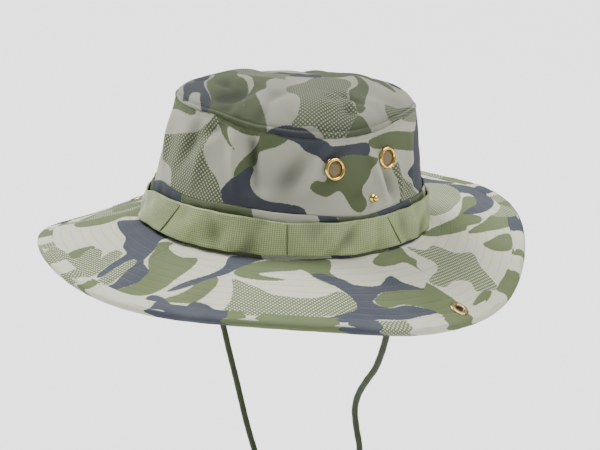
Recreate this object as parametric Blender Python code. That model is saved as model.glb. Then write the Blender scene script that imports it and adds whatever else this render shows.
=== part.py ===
"""Bucket hat with a snap-up brim, a webbing band, vent eyelets and a chin cord.

Metres, +Z up. The origin is the middle of the head opening, where the crown
meets the brim. The wearer looks along -Y, and the wearer's left is +X.
"""

import math

import bmesh
import bpy
from mathutils import Matrix, Vector

MM = 0.001
GAP = 0.3 * MM
CLOTH = 0.8 * MM

# Angles around the hat run from +X towards +Y, and every cloth layer shares them.
TURN_STEPS = 56

# The crown's outer oval, as half widths along X and Y, at its foot and at its top seam.
CROWN_FOOT = (89.9 * MM, 101.4 * MM)
CROWN_SEAM = (73.8 * MM, 82.0 * MM)
SEAM_HEIGHT = 80.0 * MM
# The top panel's outline above the seam: share of the seam oval, and height.
TOP_PROFILE = ((1.0, 80.6), (0.99, 85.5), (0.95, 89.5), (0.84, 93.0), (0.55, 95.6), (0.0, 96.6))

SWEATBAND_LOW, SWEATBAND_HIGH = -2.0 * MM, 30.0 * MM
SWEATBAND_THICK = 1.0 * MM
STRIP_LOW, STRIP_HIGH = 2.6 * MM, 33.5 * MM
WEBBING_LOW, WEBBING_HIGH = 4.5 * MM, 26.5 * MM
WEBBING_THICK = 1.4 * MM

# The brim: where its middle surface starts, and the edge's plan and wave.
BRIM_ROOT = (CROWN_FOOT[0] + GAP, CROWN_FOOT[1] + GAP, -0.4 * MM)
BRIM_EDGE = (159.0 * MM, 171.0 * MM)
BRIM_SHIFT = (-4.0 * MM, 3.0 * MM)
EDGE_LEVEL = -15.6 * MM
EDGE_WAVES = ((2, "cos", -12.1), (1, "sin", 12.6), (4, "cos", -4.6), (3, "cos", -2.0), (4, "sin", -3.0))
LAYER_STEP = CLOTH + GAP
BINDING_WIDTH = 9.0 * MM
BINDING_THICK = 0.7 * MM
BINDING_CLEAR = 0.6 * MM

# The sides of the brim turn up about straight folds beside the crown.
FOLD_X = 96.0 * MM
FOLD_LIFT = 10.0 * MM
CUT_GAP = 0.3 * MM

EYELET_ANGLE = -11.5
EYELET_SPREAD = 15.0
EYELET_HEIGHT = 57.0 * MM
SIDE_ANGLE = -9.0
STUD_HEIGHT = 37.0 * MM
SOCKET_INSET = 15.5 * MM
METAL_SIDES = 16

# The chin cord's route, as points down each side in the plane y = 0.
CORD_DIAMETER = 4.5 * MM
CORD_RIGHT = (
    (-90, -5.6), (-90, -14), (-84, -36), (-71, -66), (-56, -92), (-47.5, -111), (-37, -134),
    (-24, -163), (-11, -186), (6, -208), (20, -222), (26.4, -233), (27, -242), (27, -262),
    (27, -286), (27, -299),
)
CORD_LEFT = (
    (90, -5.6), (90.4, -14), (92.6, -35), (93, -56), (87.5, -79), (80.5, -92), (74.6, -104),
    (72.6, -116), (75.5, -129), (79.6, -142), (80, -160), (70, -186), (50, -211), (37, -225),
    (33.4, -235), (33, -243), (33, -262), (33, -286), (33, -299),
)
CORD_STEP = 9.0 * MM
SLIDER_CENTRE = (30.0 * MM, 0.0, -252.0 * MM)
SLIDER_SIZE = (17.0 * MM, 10.0 * MM, 15.0 * MM)
KNOT_TOP = -299.3 * MM

CAMO = (0.30, 0.32, 0.22)
BRASS = (0.55, 0.40, 0.16)


def clear_scene():
    """Remove the objects that Blender starts with."""
    for old in list(bpy.data.objects):
        bpy.data.objects.remove(old, do_unlink=True)


def make_material(name, colour, roughness, metallic=0.0):
    """One plain finish."""
    material = bpy.data.materials.new(name)
    material.use_nodes = True
    shader = material.node_tree.nodes["Principled BSDF"]
    shader.inputs["Base Color"].default_value = (*colour, 1.0)
    shader.inputs["Roughness"].default_value = roughness
    shader.inputs["Metallic"].default_value = metallic
    return material


def add_object(name, mesh_data, material):
    """Turn a finished bmesh into a named object."""
    bmesh.ops.recalc_face_normals(mesh_data, faces=mesh_data.faces)
    mesh = bpy.data.meshes.new(name)
    mesh_data.to_mesh(mesh)
    mesh_data.free()
    if material:
        mesh.materials.append(material)
    item = bpy.data.objects.new(name, mesh)
    bpy.context.scene.collection.objects.link(item)
    return item


def angles():
    """The shared angles around the hat."""
    return [math.tau * step / TURN_STEPS for step in range(TURN_STEPS)]


def loft_ring(name, section, material):
    """A closed ring: section(angle) gives the closed outline at each angle.

    Every face is split the same way, from its inner corner, so stacked layers stay parallel.
    """
    mesh_data = bmesh.new()
    rings = [[mesh_data.verts.new(point) for point in section(angle)] for angle in angles()]
    for ring, following in zip(rings, rings[1:] + rings[:1]):
        for i in range(len(ring)):
            j = (i + 1) % len(ring)
            if ring[j].co.xy.length > ring[i].co.xy.length:
                mesh_data.faces.new((ring[i], ring[j], following[j]))
                mesh_data.faces.new((ring[i], following[j], following[i]))
            else:
                mesh_data.faces.new((ring[i], ring[j], following[i]))
                mesh_data.faces.new((ring[j], following[j], following[i]))
    return add_object(name, mesh_data, material)


def turned(name, outline, place, material, sides=METAL_SIDES):
    """A turned piece about its own Z: outline holds (radius, height), open only at the axis."""
    mesh_data = bmesh.new()
    rows = []
    for radius, height in outline:
        if radius == 0:
            rows.append([mesh_data.verts.new((0, 0, height))])
            continue
        spots = [math.tau * step / sides for step in range(sides)]
        rows.append([mesh_data.verts.new((radius * math.cos(a), radius * math.sin(a), height)) for a in spots])
    pairs = list(zip(rows, rows[1:]))
    if len(rows[0]) > 1:
        pairs.append((rows[-1], rows[0]))
    for lower, upper in pairs:
        for i in range(sides):
            j = (i + 1) % sides
            corners = [lower[i % len(lower)], lower[j % len(lower)], upper[j % len(upper)], upper[i % len(upper)]]
            mesh_data.faces.new(list(dict.fromkeys(corners)))
    item = add_object(name, mesh_data, material)
    item.matrix_world = place
    return item


def crown_point(angle, height, outward):
    """A point on the crown's wall, outward from its outer face."""
    share = height / SEAM_HEIGHT
    half_x = CROWN_FOOT[0] + (CROWN_SEAM[0] - CROWN_FOOT[0]) * share + outward
    half_y = CROWN_FOOT[1] + (CROWN_SEAM[1] - CROWN_FOOT[1]) * share + outward
    return Vector((half_x * math.cos(angle), half_y * math.sin(angle), height))


def wall_ring(name, inner, thickness, heights, material):
    """A band around the crown, its inner face at an offset from the crown's outer face."""

    def section(angle):
        outside = [crown_point(angle, height, inner + thickness) for height in heights]
        inside = [crown_point(angle, height, inner) for height in reversed(heights)]
        return outside + inside

    return loft_ring(name, section, material)


def frame_at(point, outward):
    """A placement whose Z axis is the outward direction."""
    return Matrix.Translation(point) @ outward.to_track_quat("Z", "Y").to_matrix().to_4x4()


def crown_frame(angle, height):
    """The placement on the crown's outer face."""
    step = 0.01
    around = crown_point(angle + step, height, 0) - crown_point(angle - step, height, 0)
    upward = crown_point(angle, height + MM, 0) - crown_point(angle, height - MM, 0)
    return frame_at(crown_point(angle, height, 0), around.cross(upward).normalized())


def edge_height(angle):
    """The brim edge's height, a level with waves around it."""
    waves = {"cos": math.cos, "sin": math.sin}
    return EDGE_LEVEL + sum(size * MM * waves[kind](count * angle) for count, kind, size in EDGE_WAVES)


def brim_middle(angle, share):
    """The brim's middle surface, from share 0 at the crown to 1 at the edge."""
    root = Vector((BRIM_ROOT[0] * math.cos(angle), BRIM_ROOT[1] * math.sin(angle), BRIM_ROOT[2]))
    edge = Vector((
        BRIM_EDGE[0] * math.cos(angle) + BRIM_SHIFT[0],
        BRIM_EDGE[1] * math.sin(angle) + BRIM_SHIFT[1],
        edge_height(angle),
    ))
    return root.lerp(edge, share)


def brim_normal(angle):
    """The brim's upward direction, the same all the way out."""
    step = 0.01
    around = brim_middle(angle + step, 0.8) - brim_middle(angle - step, 0.8)
    outward = brim_middle(angle, 1.0) - brim_middle(angle, 0.0)
    return outward.cross(around).normalized()


def brim_point(angle, share, above):
    """A point above the brim's middle surface."""
    return brim_middle(angle, share) + brim_normal(angle) * above


def binding_start(angle):
    """The share where the binding's inner edge lies, and the brim's width there."""
    width = (brim_middle(angle, 1.0) - brim_middle(angle, 0.0)).length
    return 1.0 - BINDING_WIDTH / width, width


def brim_layer(name, level, material):
    """A full ring of one brim layer, centred at a level above the middle surface."""

    def section(angle):
        shares = (0.0, 0.4, binding_start(angle)[0], 1.0)
        upper = [brim_point(angle, share, level + CLOTH / 2) for share in shares]
        lower = [brim_point(angle, share, level - CLOTH / 2) for share in reversed(shares)]
        return upper + lower

    return loft_ring(name, section, material)


def brim_binding(name, material):
    """The folded strip that wraps the brim's edge."""
    inside = LAYER_STEP + CLOTH / 2 + BINDING_CLEAR
    outside = inside + BINDING_THICK

    def section(angle):
        start, width = binding_start(angle)
        wall_in = 1.0 + GAP / width
        wall_out = 1.0 + (GAP + BINDING_THICK) / width
        spots = (
            (start, outside), (1.0, outside), (wall_out, inside), (wall_out, -inside),
            (1.0, -outside), (start, -outside), (start, -inside), (wall_in, -inside),
            (wall_in, inside), (start, inside),
        )
        return [brim_point(angle, share, above) for share, above in spots]

    return loft_ring(name, section, material)


def add_cutter(name, low, high):
    """A hidden box that keeps one region of the brim."""
    mesh_data = bmesh.new()
    bmesh.ops.create_cube(mesh_data, size=1.0)
    low, high = Vector(low), Vector(high)
    for vert in mesh_data.verts:
        vert.co = Vector(low[i] if vert.co[i] < 0 else high[i] for i in range(3))
    box = add_object(name, mesh_data, None)
    box.hide_render = True
    box.display_type = "WIRE"
    return box


def add_drill(name, place, radius, reach):
    """A hidden cylinder that drills a hole through cloth."""
    outline = ((0, -reach), (radius, -reach), (radius, reach), (0, reach))
    drill = turned(name, outline, place, None)
    drill.hide_render = True
    drill.display_type = "WIRE"
    return drill


def apply_cut(item, cutter, operation):
    """Cut with the exact solver, and keep the result as the mesh."""
    cut = item.modifiers.new("cut", "BOOLEAN")
    cut.operation = operation
    cut.solver = "EXACT"
    cut.object = cutter
    bpy.context.view_layer.update()
    result = bpy.data.meshes.new_from_object(item.evaluated_get(bpy.context.evaluated_depsgraph_get()))
    item.modifiers.remove(cut)
    item.data = result


def copy_object(item, name):
    """A separate copy of an object."""
    twin = bpy.data.objects.new(name, item.data.copy())
    bpy.context.scene.collection.objects.link(twin)
    return twin


def hang_on(item, parent):
    """Parent a piece without moving it."""
    item.parent = parent
    item.matrix_parent_inverse = parent.matrix_world.inverted()


def fold_line(side):
    """The two ends of the brim's cut at one side, on the brim's edge."""
    ends = []
    for start in (-1, 1):
        best = min(
            (math.radians(step / 4) * start for step in range(0, 720)),
            key=lambda angle: abs(brim_middle(angle, 1.0).x - side * FOLD_X),
        )
        ends.append(brim_middle(best, 1.0))
    return ends


def fold_axis(side):
    """A point on a side's fold axis, and the axis's direction towards the rear."""
    front, rear = fold_line(side)
    direction = Vector((0, rear.y - front.y, rear.z - front.z)).normalized()
    middle = front.lerp(rear, -front.y / (rear.y - front.y))
    return Vector((side * FOLD_X, 0, middle.z + FOLD_LIFT)), direction


def build_crown(materials):
    """The crown's wall, top and bands."""
    heights = (0.0, 27 * MM, 54 * MM, SEAM_HEIGHT)
    wall = wall_ring("crown_wall", -CLOTH, CLOTH, heights, materials["cloth"])
    wall_ring(
        "sweatband", -CLOTH - GAP - SWEATBAND_THICK, SWEATBAND_THICK,
        (SWEATBAND_LOW, SWEATBAND_HIGH), materials["lining"],
    )
    wall_ring("band_backing_strip", GAP, CLOTH, (STRIP_LOW, STRIP_HIGH), materials["cloth"])
    wall_ring("webbing_band", 2 * GAP + CLOTH, WEBBING_THICK, (WEBBING_LOW, WEBBING_HIGH), materials["webbing"])
    build_top(materials["cloth"])
    return wall


def build_top(material):
    """The crown's domed top panel, a shell one cloth thick."""
    mesh_data = bmesh.new()

    def level(scale, height, inward):
        if scale == 0:
            return [mesh_data.verts.new((0, 0, height * MM - inward))]
        half_x = CROWN_SEAM[0] * scale - inward
        half_y = CROWN_SEAM[1] * scale - inward
        drop = inward * (1 - scale)
        return [
            mesh_data.verts.new((half_x * math.cos(a), half_y * math.sin(a), height * MM - drop))
            for a in angles()
        ]

    outer = [level(scale, height, 0.0) for scale, height in TOP_PROFILE]
    inner = [level(scale, height, CLOTH * 1.2) for scale, height in TOP_PROFILE]
    pairs = list(zip(outer, outer[1:])) + list(zip(inner, inner[1:])) + [(outer[0], inner[0])]
    for lower, upper in pairs:
        for i in range(TURN_STEPS):
            j = (i + 1) % TURN_STEPS
            corners = [lower[i], lower[j], upper[j % len(upper)], upper[i % len(upper)]]
            mesh_data.faces.new(list(dict.fromkeys(corners)))
    return add_object("crown_top", mesh_data, material)


def build_eyelet(name, wall, place, materials):
    """A brass vent eyelet through the wall, its washer inside and its gauze."""
    hole = add_drill(f"cutter_{name}", place, 5.5 * MM, 8 * MM)
    apply_cut(wall, hole, "DIFFERENCE")
    inner = -CLOTH - 0.6 * MM
    eyelet = (
        (4.6, 1.2), (5.5, 1.7), (6.5, 0.9), (6.5, 0.35), (5.2, 0.35), (5.2, -2.5), (6.2, -2.5),
        (6.2, -3.0), (4.6, -3.0),
    )
    turned(f"eyelet_{name}", [(r * MM, h * MM) for r, h in eyelet], place, materials["brass"])
    washer = ((5.5, inner / MM), (6.8, inner / MM), (6.8, inner / MM - 0.6), (5.5, inner / MM - 0.6))
    turned(f"eyelet_washer_{name}", [(r * MM, h * MM) for r, h in washer], place, materials["brass"])
    gauze = ((0, -0.6), (4.3, -0.6), (4.3, -0.2), (0, -0.2))
    turned(f"eyelet_gauze_{name}", [(r * MM, h * MM) for r, h in gauze], place, materials["gauze"])


def build_stud(name, wall, place, materials):
    """The crown's half of a snap: a stud outside, riveted to a cap inside."""
    hole = add_drill(f"cutter_stud_{name}", place, 1.7 * MM, 8 * MM)
    apply_cut(wall, hole, "DIFFERENCE")
    stud = (
        (0, 4.4), (1.3, 4.2), (2.0, 3.2), (1.5, 1.8), (3.2, 1.0), (3.2, 0.35), (1.3, 0.35),
        (1.3, -1.5), (0, -1.5),
    )
    turned(f"snap_stud_{name}", [(r * MM, h * MM) for r, h in stud], place, materials["brass"])
    cap = ((0, -1.8), (5.0, -1.8), (5.0, -2.3), (4.0, -2.8), (0, -2.9))
    turned(f"snap_stud_cap_{name}", [(r * MM, h * MM) for r, h in cap], place, materials["brass"])


def build_brim(materials):
    """The brim's layers and binding, each cut into its front, rear and two turn-up sides."""
    edge = FOLD_X - CUT_GAP / 2
    side = FOLD_X + CUT_GAP / 2
    far, half = 0.3, CUT_GAP / 2
    regions = {
        "front": ((-edge, -far, -far), (edge, -half, far)),
        "rear": ((-edge, half, -far), (edge, far, far)),
        "left": ((side, -far, -far), (far, far, far)),
        "right": ((-far, -far, -far), (-side, far, far)),
    }
    rings = {
        "brim_upper": brim_layer("ring_upper", LAYER_STEP, materials["cloth"]),
        "brim_interlining": brim_layer("ring_interlining", 0.0, materials["lining"]),
        "brim_under": brim_layer("ring_under", -LAYER_STEP, materials["cloth"]),
        "brim_binding": brim_binding("ring_binding", materials["cloth"]),
    }
    pieces = {}
    for region, (low, high) in regions.items():
        box = add_cutter(f"cutter_{region}", low, high)
        for kind, ring in rings.items():
            piece = copy_object(ring, f"{kind}_{region}")
            apply_cut(piece, box, "INTERSECT")
            pieces[kind, region] = piece
    for ring in rings.values():
        bpy.data.objects.remove(ring, do_unlink=True)
    return pieces


def build_socket(side_name, side, pieces, materials):
    """The brim's half of a snap, through all three layers of a turn-up side."""
    angle = 0.0 if side > 0 else math.pi
    share = 1.0 - SOCKET_INSET / binding_start(angle)[1]
    place = frame_at(brim_middle(angle, share), brim_normal(angle))
    drill = add_drill(f"cutter_socket_{side_name}", place, 1.8 * MM, 6 * MM)
    for kind in ("brim_upper", "brim_interlining", "brim_under"):
        apply_cut(pieces[kind, side_name], drill, "DIFFERENCE")
    socket = ((2.3, 1.85), (5.6, 1.85), (5.6, 2.6), (4.6, 3.4), (2.3, 3.4))
    ring = turned(f"snap_socket_{side_name}", [(r * MM, h * MM) for r, h in socket], place, materials["brass"])
    cap = (
        (0, 3.0), (1.4, 3.0), (1.4, -1.85), (5.8, -1.85), (5.8, -2.4), (4.6, -3.1), (0, -3.3),
    )
    rivet = turned(f"snap_socket_cap_{side_name}", [(r * MM, h * MM) for r, h in cap], place, materials["brass"])
    return [ring, rivet]


def smooth_route(points):
    """Evenly spaced points on a smooth curve through the route's points."""
    spots = [Vector((x * MM, 0, z * MM)) for x, z in points]
    padded = [spots[0] * 2 - spots[1], *spots, spots[-1] * 2 - spots[-2]]
    fine = []
    for before, start, end, after in zip(padded, padded[1:], padded[2:], padded[3:]):
        for step in range(20):
            t = step / 20
            fine.append(0.5 * (
                2 * start + (end - before) * t + (2 * before - 5 * start + 4 * end - after) * t * t
                + (3 * start - before - 3 * end + after) * t ** 3
            ))
    fine.append(spots[-1])
    route, walked = [fine[0]], 0.0
    for previous, point in zip(fine, fine[1:]):
        walked += (point - previous).length
        if walked >= CORD_STEP:
            route.append(point)
            walked = 0.0
    route[-1] = fine[-1]
    return route


def build_cord(name, points, material):
    """One strand of the chin cord, as a tube along its route."""
    curve = bpy.data.curves.new(name, "CURVE")
    curve.dimensions = "3D"
    curve.bevel_depth = CORD_DIAMETER / 2
    curve.bevel_resolution = 2
    curve.use_fill_caps = True
    spline = curve.splines.new("POLY")
    route = smooth_route(points)
    spline.points.add(len(route) - 1)
    for spot, point in zip(spline.points, route):
        spot.co = (*point, 1.0)
    curve.materials.append(material)
    strand = bpy.data.objects.new(name, curve)
    bpy.context.scene.collection.objects.link(strand)
    return strand


def build_slider(materials):
    """The two-hole slider on the cord, and the knot below it."""
    mesh_data = bmesh.new()
    bmesh.ops.create_cube(mesh_data, size=1.0, matrix=Matrix.Diagonal((*SLIDER_SIZE, 1.0)))
    upright = [e for e in mesh_data.edges if abs(e.verts[0].co.z - e.verts[1].co.z) > MM]
    bmesh.ops.bevel(mesh_data, geom=upright, offset=4.6 * MM, segments=4, affect="EDGES", profile=0.5)
    slider = add_object("cord_slider", mesh_data, materials["slider"])
    slider.location = SLIDER_CENTRE
    bpy.context.view_layer.update()
    for name, x in (("a", CORD_RIGHT[-1][0]), ("b", CORD_LEFT[-1][0])):
        place = Matrix.Translation((x * MM, 0, SLIDER_CENTRE[2]))
        drill = add_drill(f"cutter_cord_{name}", place, CORD_DIAMETER / 2 + 0.45 * MM, 12 * MM)
        apply_cut(slider, drill, "DIFFERENCE")
    knot = ((0, 0), (5.6, 0), (7.4, -3.5), (7.0, -8.0), (4.0, -12.0), (0, -13.0))
    place = Matrix.Translation((SLIDER_CENTRE[0], 0, KNOT_TOP))
    turned("cord_knot", [(r * MM, h * MM) for r, h in knot], place, materials["cord"], sides=12)
    return slider


def add_empty(name, location):
    """An empty that marks a joint."""
    marker = bpy.data.objects.new(name, None)
    marker.location = location
    bpy.context.scene.collection.objects.link(marker)
    return marker


def main():
    """Build the hat."""
    clear_scene()
    materials = {
        "cloth": make_material("camouflage_cloth", CAMO, 0.9),
        "lining": make_material("lining", (0.20, 0.23, 0.14), 0.9),
        "webbing": make_material("webbing", (0.26, 0.32, 0.12), 0.6),
        "brass": make_material("brass", BRASS, 0.3, 1.0),
        "gauze": make_material("gauze", (0.20, 0.16, 0.08), 0.5, 1.0),
        "cord": make_material("cord", (0.10, 0.13, 0.06), 0.85),
        "slider": make_material("slider", (0.05, 0.06, 0.04), 0.5),
    }
    wall = build_crown(materials)
    for side_name, centre in (("left", SIDE_ANGLE), ("right", 180.0 - SIDE_ANGLE)):
        towards_front = -1 if side_name == "left" else 1
        lean = towards_front * (SIDE_ANGLE - EYELET_ANGLE)
        for place_name, turn in (("front", towards_front), ("rear", -towards_front)):
            angle = math.radians(centre + lean + turn * EYELET_SPREAD)
            build_eyelet(f"{side_name}_{place_name}", wall, crown_frame(angle, EYELET_HEIGHT), materials)
        build_stud(side_name, wall, crown_frame(math.radians(centre), STUD_HEIGHT), materials)
    pieces = build_brim(materials)
    for side_name, side in (("left", 1), ("right", -1)):
        point, direction = fold_axis(side)
        marker = add_empty(f"fold_axis_{side_name}", point)
        marker.rotation_euler = (math.atan2(direction.z, direction.y), 0, 0)
        snaps = build_socket(side_name, side, pieces, materials)
        bpy.context.view_layer.update()
        layers = [piece for (kind, region), piece in pieces.items() if region == side_name]
        for item in layers + snaps:
            hang_on(item, marker)
    build_cord("chin_cord_right", CORD_RIGHT, materials["cord"])
    build_cord("chin_cord_left", CORD_LEFT, materials["cord"])
    build_slider(materials)


main()
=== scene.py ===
"""The looks of a camouflage bucket hat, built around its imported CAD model."""

import math

import bmesh
import bpy
import numpy as np
from mathutils import Matrix, Vector


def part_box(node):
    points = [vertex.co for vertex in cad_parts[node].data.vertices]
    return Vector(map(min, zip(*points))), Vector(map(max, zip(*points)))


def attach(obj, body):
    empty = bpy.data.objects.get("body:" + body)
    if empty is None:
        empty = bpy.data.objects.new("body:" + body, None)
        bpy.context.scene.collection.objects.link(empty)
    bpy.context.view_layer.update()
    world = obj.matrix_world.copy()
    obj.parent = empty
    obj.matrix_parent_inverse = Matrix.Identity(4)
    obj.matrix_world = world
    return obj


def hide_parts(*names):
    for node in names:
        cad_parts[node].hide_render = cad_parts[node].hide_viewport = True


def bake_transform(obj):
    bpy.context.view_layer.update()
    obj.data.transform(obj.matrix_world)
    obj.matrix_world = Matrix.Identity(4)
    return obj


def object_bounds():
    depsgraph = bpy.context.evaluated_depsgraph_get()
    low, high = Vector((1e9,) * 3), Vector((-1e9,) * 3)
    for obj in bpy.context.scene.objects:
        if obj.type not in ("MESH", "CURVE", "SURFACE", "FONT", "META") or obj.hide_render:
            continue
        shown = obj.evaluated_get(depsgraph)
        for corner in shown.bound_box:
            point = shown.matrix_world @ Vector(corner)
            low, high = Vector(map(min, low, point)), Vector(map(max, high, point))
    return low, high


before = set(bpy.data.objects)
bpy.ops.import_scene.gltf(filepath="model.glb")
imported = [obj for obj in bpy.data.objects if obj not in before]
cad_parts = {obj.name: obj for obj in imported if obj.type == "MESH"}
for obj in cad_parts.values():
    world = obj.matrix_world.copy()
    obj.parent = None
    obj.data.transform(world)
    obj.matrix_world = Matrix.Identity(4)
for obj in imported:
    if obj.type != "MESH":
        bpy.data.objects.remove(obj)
CAD_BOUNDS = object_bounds()

MM = 0.001

# The crown and brim, as the CAD model has them, in millimetres.
CROWN_FOOT = (89.9, 101.4)
CROWN_SEAM = (73.8, 82.0)
SEAM_HEIGHT = 80.0
TOP_PROFILE = (
    (1.0, 79.4), (0.975, 84.0), (0.92, 87.5), (0.82, 91.0), (0.68, 93.8), (0.5, 95.6), (0.25, 96.4),
    (0.0, 96.2),
)
WALL_BULGE = 2.8
# The soft top seam rises and dips: (angle, lift).
SEAM_LIFT = (
    (-180, 0), (-128, 3), (-110, 3.5), (-95, 3.5), (-84, 4), (-72, 0.5), (-60, -1.5), (-40, -3.8), (-22, -4),
    (-10, -2.5), (0, 0), (10, 3), (30, 4.5), (60, 1), (100, -1), (140, 1.5), (180, 0),
)
# Where the top stands higher: middle across and along, radius, height.
TOP_PEAKS = ((11, 42, 22, 2.5), (30, 20, 22, 2.0), (-38, 22, 34, -3.4), (-26, -34, 12, 1.5))
BRIM_ROOT = (90.2, 101.7, -0.4)
BRIM_EDGE = (159.0, 171.0)
BRIM_SHIFT = (-4.0, 3.0)
EDGE_LEVEL = -15.6
EDGE_WAVES = ((2, "cos", -12.1), (1, "sin", 12.6), (4, "cos", -4.6), (3, "cos", -2.0), (4, "sin", -3.0))
# The soft brim's edge lies higher or lower than the CAD model's: (angle, lift).
EDGE_LIFT = (
    (-180, 0), (-60, 0), (-35, 1), (-20, 2.5), (-3, 5), (10, 3), (22, 0), (45, -1), (65, -3.5), (85, -3),
    (110, 0),
    (180, 0),
)
BINDING_WIDTH = 9.0
BRIM_WIDTH = 68.0

SIDE_ANGLE = -9.0
EYELET_ANGLE = -11.5
EYELET_SPREAD = 15.0
EYELET_HEIGHT = 57.0
STUD_HEIGHT = 37.0
SOCKET_INSET = 15.5

CORD_DIAMETER = 4.5
CORD_RIGHT = (
    (-90, -5.6), (-90, -14), (-84, -36), (-71, -66), (-56, -92), (-47.5, -111), (-37, -134),
    (-24, -163), (-11, -186), (6, -208), (20, -222), (26.4, -233), (27, -242), (27, -262),
    (27, -286), (27, -299),
)
CORD_LEFT = (
    (90, -5.6), (90.4, -14), (92.6, -35), (93, -56), (87.5, -79), (80.5, -92), (74.6, -104),
    (72.6, -116), (75.5, -129), (79.6, -142), (80, -160), (70, -186), (50, -211), (37, -225),
    (33.4, -235), (33, -243), (33, -262), (33, -286), (33, -299),
)

# The camouflage print. Each shape is an outline of (angle, height above the brim) on the wall.
WALL_PRINT = {
    "green": (
        ((-134, 82), (-115, 82), (-104, 80.5), (-97, 78.5), (-101, 75.5), (-115, 75), (-134, 70)),
        ((-84, 80), (-62, 80.5), (-59, 77), (-67, 75), (-76, 76.5), (-75, 71), (-70, 64), (-78, 70),
         (-83, 76)),
        ((-60, 79), (-51, 80), (-48, 77), (-53, 71), (-60, 66), (-61, 59), (-65, 53), (-69, 49), (-68, 57),
         (-64, 66), (-61, 73)),
        ((-25, 66), (-15, 67.5), (-9, 64), (-5, 61), (-9, 57), (-10.5, 51), (-14, 44), (-12, 34.5),
         (-14, 29.5),
         (-18, 30.5), (-21.5, 38), (-25, 44), (-30, 40.5), (-35, 43), (-37.5, 47), (-35, 51), (-31, 50.5),
         (-30, 58), (-28, 62)),
        ((-10, 75), (0, 76), (10, 73), (22, 69), (40, 66), (40, 57), (25, 57), (12, 61), (0, 66), (-8, 69)),
    ),
    "navy": (
        ((-62, 55), (-62.5, 47), (-60, 41), (-55, 37), (-48, 36), (-41, 34.5), (-38.5, 31.5), (-40, 27.5),
         (-60, 26),
         (-78, 25), (-74, 40), (-71, 46), (-67, 51), (-64, 56)),
        ((-57, 80), (-46, 81), (-36, 80), (-31, 77), (-28, 74), (-17, 74.5), (-11.5, 74), (-9.5, 70),
         (-11, 65),
         (-17, 67), (-24, 66), (-28, 62), (-32, 63), (-35, 67), (-40, 70), (-44, 75), (-50, 77.5)),
        ((36, 72), (27, 67), (23, 60), (20, 53), (14.5, 47), (16, 42), (19, 37), (26, 31), (33, 25),
         (50, 26), (72, 40), (66, 66)),
        ((7, 31), (9, 33), (11, 30), (9, 28)),
    ),
    "hatch": (
        ((-84.5, 79), (-88, 74), (-97, 67), (-110, 62), (-124, 56), (-130, 49), (-118, 44), (-107, 41),
         (-103, 30),
         (-92, 25), (-73, 25), (-76, 43), (-82, 50), (-86, 59), (-85, 69), (-82, 77)),
        ((2.5, 54), (7.5, 55), (10.5, 46), (15.5, 39.5), (24, 30), (30, 24), (11, 24), (8.5, 30), (7, 37),
         (5, 46)),
        ((12, 80), (22, 80.5), (44, 79), (44, 72), (28, 73), (18, 76)),
    ),
}
# On the top panel each outline is (angle, run of cloth inwards from the seam).
TOP_PRINT = {
    "green": (
        ((-88, -4), (-60, -4), (-60.5, 10), (-67, 22), (-76, 33), (-84, 52), (-139, 69), (-160, 58),
         (-150, 46),
         (-160, 32), (-135, 26), (-112, 21), (-98, 15), (-92, 8)),
        ((50, 47), (25, 43), (2, 40), (-8, 26), (-11, 14), (-6, 16), (-2, 22), (12, 31), (35, 38), (60, 46)),
        ((-23, -4), (-9, -4), (-10, 6), (-12, 13), (-17, 9)),
        ((60, 38), (42, 28), (35, 19), (45, 22), (72, 36)),
        ((-135, 3), (-120, 1), (-112, -3), (-140, -4)),
    ),
    "pale": (
        ((-72, 11), (-78, 22), (-92, 40), (-140, 45), (-122, 53), (-90, 44), (-81, 30), (-75, 18)),
    ),
    "navy": (
        ((-89, 1), (-92, -1), (-97, 6), (-106, 13), (-113, 11), (-107, 4), (-112, 2), (-120, 7), (-135, 9),
         (-150, 12), (-165, 19), (-150, 24), (-130, 23), (-108, 19), (-97, 14), (-91, 8)),
        ((50, 72), (100, 75), (150, 66), (170, 52), (176, 38), (182, 27), (170, 22), (155, 32), (140, 46),
         (118, 57), (90, 64), (60, 68)),
        ((-56, 2), (-48, 6), (-40, 4), (-36, -3), (-58, -4)),
    ),
    "hatch": (
        ((-47.5, 6), (-44.5, 16), (-45, 35), (-60, 60), (-10, 74), (56, 74), (30, 50), (2, 41), (-9, 28),
         (-11, 16), (-18, 7), (-22, 1), (-30, -2), (-34, 3), (-38, 6)),
        ((10, 15), (4, 9), (4, 1), (8, -4), (32, -4), (28, 3), (16, 8)),
    ),
}
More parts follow.
